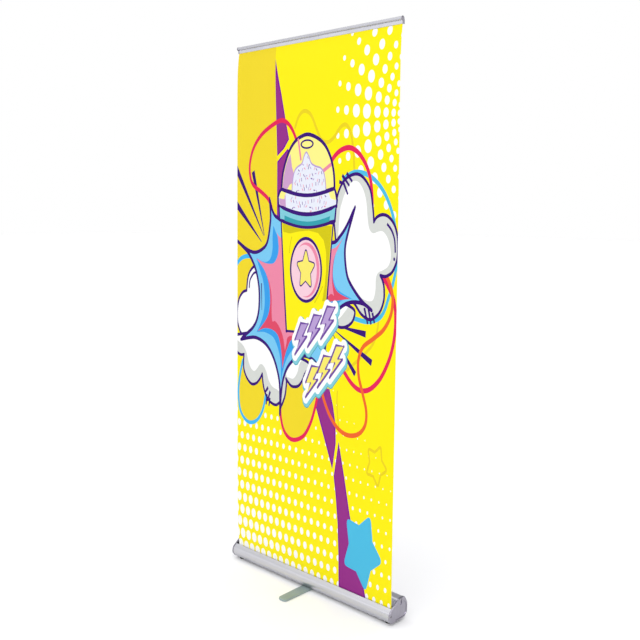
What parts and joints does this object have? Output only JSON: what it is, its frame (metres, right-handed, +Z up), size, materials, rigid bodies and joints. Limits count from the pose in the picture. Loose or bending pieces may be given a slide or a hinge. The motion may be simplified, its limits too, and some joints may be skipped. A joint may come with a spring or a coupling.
{
  "type": "roll-up banner stand",
  "caption": "Free-standing roll-up banner stand: sprung roller in a low base on one swivel foot, film, clamping top rail and telescopic mast.",
  "frame": {"origin": "on the floor, on the vertical axis that the single foot swivels about, which is the middle of the base's length", "axes": "+Z up; the printed face looks along -Y; +X runs along the base to the right of someone facing the banner"},
  "size_m": [0.833, 0.352, 2.0854],
  "materials": {
    "satin_aluminium": "satin anodised",
    "chrome": "bright plated moulding",
    "grey_steel": "grey-green satin",
    "zinc_steel": "zinc plated",
    "spring_steel": "dark drawn wire",
    "black_plastic": "matt moulded",
    "grey_plastic": "matt moulded",
    "rubber": "matt",
    "film_back": "satin grey film back",
    "printed_film": "printed polyester film, satin"
  },
  "bodies": {
    "base": {"base_housing": "satin_aluminium", "end_cap_left": "chrome", "end_cap_right": "chrome", "cap_screw_front_left": "zinc_steel", "cap_screw_top_left": "zinc_steel", "cap_screw_front_right": "zinc_steel", "cap_screw_top_right": "zinc_steel", "axle_bracket_left": "grey_plastic", "axle_bracket_right": "grey_plastic", "base_pad_left": "rubber", "base_pad_right": "rubber", "mast_socket": "black_plastic", "idler_pin": "zinc_steel", "spring_axle": "zinc_steel", "spring_anchor": "black_plastic", "torsion_spring": "spring_steel", "foot_pivot_bolt": "zinc_steel", "foot_washer": "grey_plastic", "foot_pivot_nut": "zinc_steel", "mast_lower_tube": "satin_aluminium", "graphic_panel": "printed_film"},
    "foot": {"swivel_foot": "grey_steel", "foot_pad_front": "rubber", "foot_pad_rear": "rubber"},
    "roller": {"roller_tube": "satin_aluminium", "wound_film": "film_back", "roller_plug_idler": "black_plastic", "roller_plug_spring": "black_plastic"},
    "middle_section": {"mast_middle_tube": "satin_aluminium", "middle_guide_bush": "grey_plastic"},
    "top_section": {"mast_top_tube": "satin_aluminium", "top_guide_bush": "grey_plastic", "mast_head": "black_plastic", "top_rail": "satin_aluminium", "rail_cap_left": "chrome", "rail_cap_right": "chrome"},
    "rail_jaw": {"rail_jaw": "satin_aluminium"},
    "lower_collar": {"lower_lock_collar": "black_plastic"},
    "upper_collar": {"upper_lock_collar": "black_plastic"}
  },
  "joints": [
    {"name": "foot_swivel", "type": "hinge", "parent": "base", "child": "foot", "pos_m": [0, 0, 0], "axis": [0, 0, 1], "range_deg": [-90, 90]},
    {"name": "banner_height", "type": "slide", "parent": "base", "child": "top_section", "axis": [0, 0, 1], "range_m": [-1.2, 0], "deforming": ["graphic_panel"]},
    {"name": "middle_slide", "type": "slide", "parent": "base", "child": "middle_section", "axis": [0, 0, 1], "range_m": [-0.6, 0]},
    {"name": "roller_turn", "type": "hinge", "parent": "base", "child": "roller", "pos_m": [0, -0.013, 0.04], "axis": [1, 0, 0], "range_deg": [0, 3620]},
    {"name": "jaw_hinge", "type": "hinge", "parent": "top_section", "child": "rail_jaw", "pos_m": [0.0052, -0.0351, 2.0775], "axis": [-1, 0, 0], "range_deg": [0, 40]},
    {"name": "lower_collar_twist", "type": "hinge", "parent": "base", "child": "lower_collar", "pos_m": [0, 0.0215, 0.755], "axis": [0, 0, 1], "range_deg": [0, 90]},
    {"name": "upper_collar_twist", "type": "hinge", "parent": "middle_section", "child": "upper_collar", "pos_m": [0, 0.0215, 1.407], "axis": [0, 0, 1], "range_deg": [0, 90]}
  ],
  "couplings": [
    {"joint": "middle_slide", "follows": "banner_height", "ratio": 0.5},
    {"joint": "roller_turn", "follows": "banner_height", "rad_per_m": -52.632}
  ]
}
